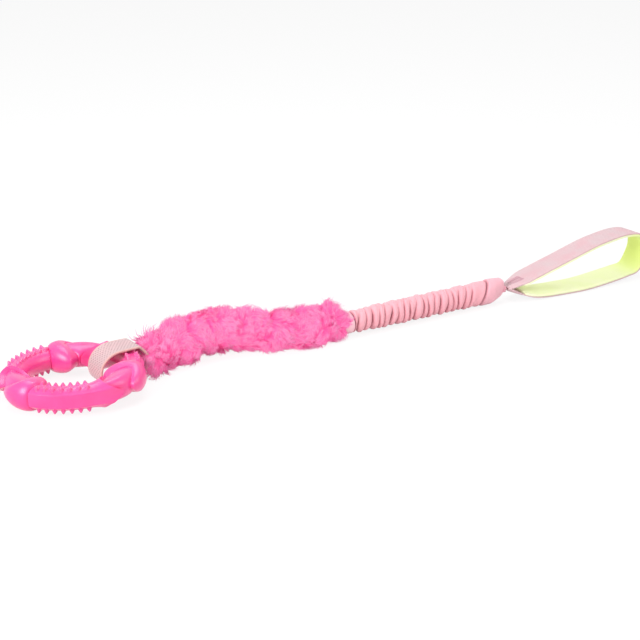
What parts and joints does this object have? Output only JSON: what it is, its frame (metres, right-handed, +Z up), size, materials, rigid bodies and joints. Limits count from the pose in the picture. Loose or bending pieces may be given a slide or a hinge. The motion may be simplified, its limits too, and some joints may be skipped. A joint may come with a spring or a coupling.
{
  "type": "bungee tug toy",
  "caption": "Dog tug toy: spiked rubber chew ring in a webbing loop, fluffy pull sleeve, gathered bungee shock absorber and lined webbing hand loop.",
  "frame": {"origin": "on the floor under the middle of the toy's bounding box, as it lies at rest", "axes": "+X along the toy from the chew ring to the hand loop, +Z up, +Y to the left when facing along +X"},
  "size_m": [0.6952, 0.1228, 0.0505],
  "materials": {
    "ring_rubber": "satin",
    "fur": "long pile",
    "loop_webbing": "woven",
    "bungee_cloth": "gathered cloth",
    "elastic": "braided",
    "handle_cloth": "woven",
    "lime_lining": "napped",
    "thread": "stitched"
  },
  "bodies": {
    "sleeve": {"fur_sleeve": "fur", "core_webbing": "loop_webbing"},
    "loop": {"ring_loop": "loop_webbing"},
    "ring": {"chew_ring": "ring_rubber"},
    "bungee": {"bungee_front_fold": "bungee_cloth", "bungee_cover": "bungee_cloth", "bungee_core": "elastic"},
    "bungee_end": {"bungee_end_fold": "bungee_cloth", "neck_tab": "handle_cloth"},
    "hand_loop": {"handle_webbing": "handle_cloth", "handle_lining": "lime_lining", "handle_tack": "thread"}
  },
  "joints": [
    {"name": "loop_bend", "type": "hinge", "parent": "sleeve", "child": "loop", "pos_m": [-0.21482, 0.00282, 0.01988], "axis": [0, 1, 0], "range_deg": [-45, 60], "deforming": ["fur_sleeve"]},
    {"name": "ring_swing", "type": "hinge", "parent": "loop", "child": "ring", "pos_m": [-0.2352, -0.00068, 0.01717], "axis": [0, 1, 0], "range_deg": [-90, 90], "deforming": ["ring_loop"]},
    {"name": "bungee_bend", "type": "hinge", "parent": "sleeve", "child": "bungee", "pos_m": [-0.02352, -0.01272, 0.01258], "axis": [0, 1, 0], "range_deg": [-60, 60]},
    {"name": "bungee_stretch", "type": "slide", "parent": "bungee", "child": "bungee_end", "axis": [1, 0, 0], "range_m": [0, 0.1], "stiffness_N_per_m": 200, "deforming": ["bungee_cover", "bungee_core"]},
    {"name": "handle_bend", "type": "hinge", "parent": "bungee_end", "child": "hand_loop", "pos_m": [0.17573, -0.01272, 0.01258], "axis": [0, 1, 0], "range_deg": [-75, 75]}
  ]
}
